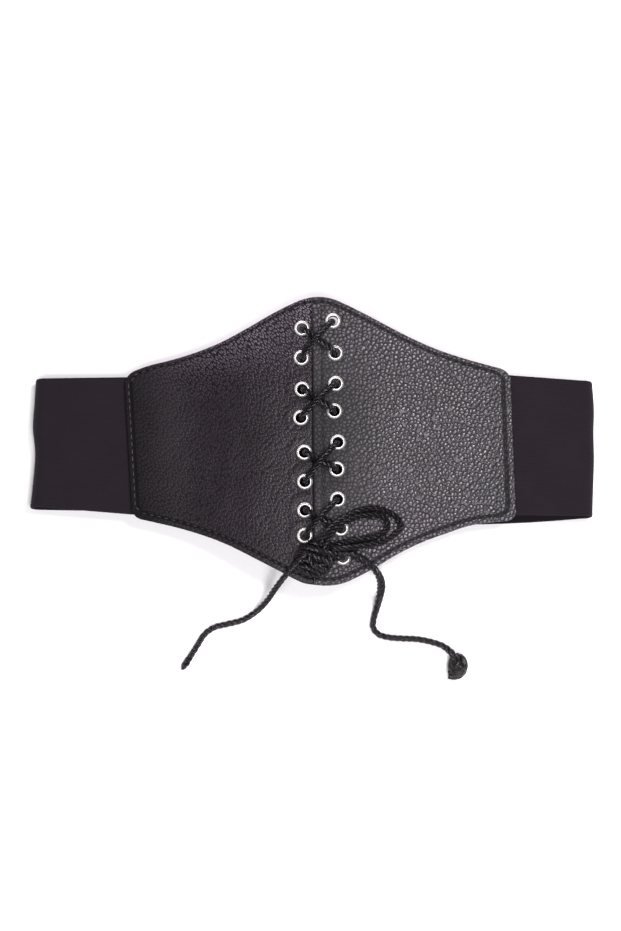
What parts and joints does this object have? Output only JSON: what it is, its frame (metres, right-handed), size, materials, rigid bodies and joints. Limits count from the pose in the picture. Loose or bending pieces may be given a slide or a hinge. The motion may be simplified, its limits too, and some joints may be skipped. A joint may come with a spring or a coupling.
{
  "type": "corset belt",
  "caption": "Wide elastic waist belt with a peaked leather-look front, laced through metal eyelets and tied in a bow, laid flat as a closed loop",
  "frame": {"origin": "middle of the flat belt's outline, on the surface that it lies on", "axes": "+X along the flat belt to the wearer's left side as seen from the front, +Y to its top edge, +Z out of its front"},
  "size_m": [0.3314, 0.2221, 0.0349],
  "materials": {
    "leather_left": "fine-grained black leather-look sheet, soft satin",
    "leather_right": "pebble-grained black leather-look sheet, satin",
    "elastic": "matt ribbed black elastic webbing",
    "nickel": "polished nickel",
    "lace": "twisted black cord with a slight sheen",
    "clasp": "plain matt black"
  },
  "bodies": {
    "root": {"front_panel_left": "leather_left", "front_panel_right": "leather_right", "elastic_left": "elastic", "elastic_right": "elastic", "back_clasp": "clasp", "eyelet_left_1": "nickel", "eyelet_left_2": "nickel", "eyelet_left_3": "nickel", "eyelet_left_4": "nickel", "eyelet_left_5": "nickel", "eyelet_left_6": "nickel", "eyelet_left_7": "nickel", "eyelet_left_8": "nickel", "eyelet_left_9": "nickel", "eyelet_right_1": "nickel", "eyelet_right_2": "nickel", "eyelet_right_3": "nickel", "eyelet_right_4": "nickel", "eyelet_right_5": "nickel", "eyelet_right_6": "nickel", "eyelet_right_7": "nickel", "eyelet_right_8": "nickel", "eyelet_right_9": "nickel", "lacing": "lace", "bow_knot": "lace", "bow_loop_outer": "lace", "bow_loop_inner": "lace", "lace_end_left": "lace", "lace_tip_left": "lace", "lace_end_right": "lace", "stop_knot_right": "lace"}
  },
  "joints": []
}
